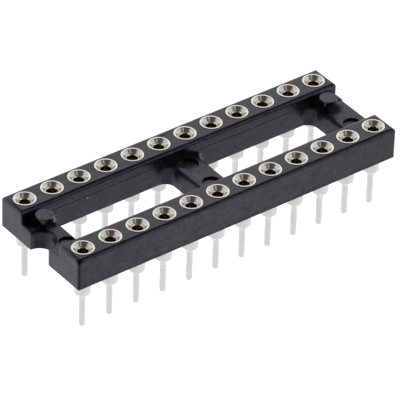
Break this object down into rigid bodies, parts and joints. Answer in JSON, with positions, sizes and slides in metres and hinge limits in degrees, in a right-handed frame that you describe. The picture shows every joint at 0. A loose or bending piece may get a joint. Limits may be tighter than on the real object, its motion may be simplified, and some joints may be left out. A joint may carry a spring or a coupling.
{
  "type": "dip socket",
  "caption": "Open-frame dip socket: a black moulded ladder frame with an index notch carries two rows of turned contacts with sprung clips and solder tails.",
  "frame": {"origin": "centre of the contact pattern on the board, in the plane of the sleeves' shoulders", "axes": "+X along the rows, away from the index notch; +Y across the rows, towards the posts; +Z out of the contact mouths"},
  "size_m": [0.0304, 0.0102, 0.0074],
  "materials": {
    "housing_plastic": "moulded, glass-filled, faint satin",
    "tinned_brass": "turned brass with a satin tin plating",
    "gilt_clip": "stamped copper alloy with a gold flash"
  },
  "bodies": {
    "root": {"housing": "housing_plastic", "sleeve_01": "tinned_brass", "sleeve_02": "tinned_brass", "sleeve_03": "tinned_brass", "sleeve_04": "tinned_brass", "sleeve_05": "tinned_brass", "sleeve_06": "tinned_brass", "sleeve_07": "tinned_brass", "sleeve_08": "tinned_brass", "sleeve_09": "tinned_brass", "sleeve_10": "tinned_brass", "sleeve_11": "tinned_brass", "sleeve_12": "tinned_brass", "sleeve_13": "tinned_brass", "sleeve_14": "tinned_brass", "sleeve_15": "tinned_brass", "sleeve_16": "tinned_brass", "sleeve_17": "tinned_brass", "sleeve_18": "tinned_brass", "sleeve_19": "tinned_brass", "sleeve_20": "tinned_brass", "sleeve_21": "tinned_brass", "sleeve_22": "tinned_brass", "sleeve_23": "tinned_brass", "sleeve_24": "tinned_brass", "clip_01": "gilt_clip", "clip_02": "gilt_clip", "clip_03": "gilt_clip", "clip_04": "gilt_clip", "clip_05": "gilt_clip", "clip_06": "gilt_clip", "clip_07": "gilt_clip", "clip_08": "gilt_clip", "clip_09": "gilt_clip", "clip_10": "gilt_clip", "clip_11": "gilt_clip", "clip_12": "gilt_clip", "clip_13": "gilt_clip", "clip_14": "gilt_clip", "clip_15": "gilt_clip", "clip_16": "gilt_clip", "clip_17": "gilt_clip", "clip_18": "gilt_clip", "clip_19": "gilt_clip", "clip_20": "gilt_clip", "clip_21": "gilt_clip", "clip_22": "gilt_clip", "clip_23": "gilt_clip", "clip_24": "gilt_clip"}
  },
  "joints": []
}
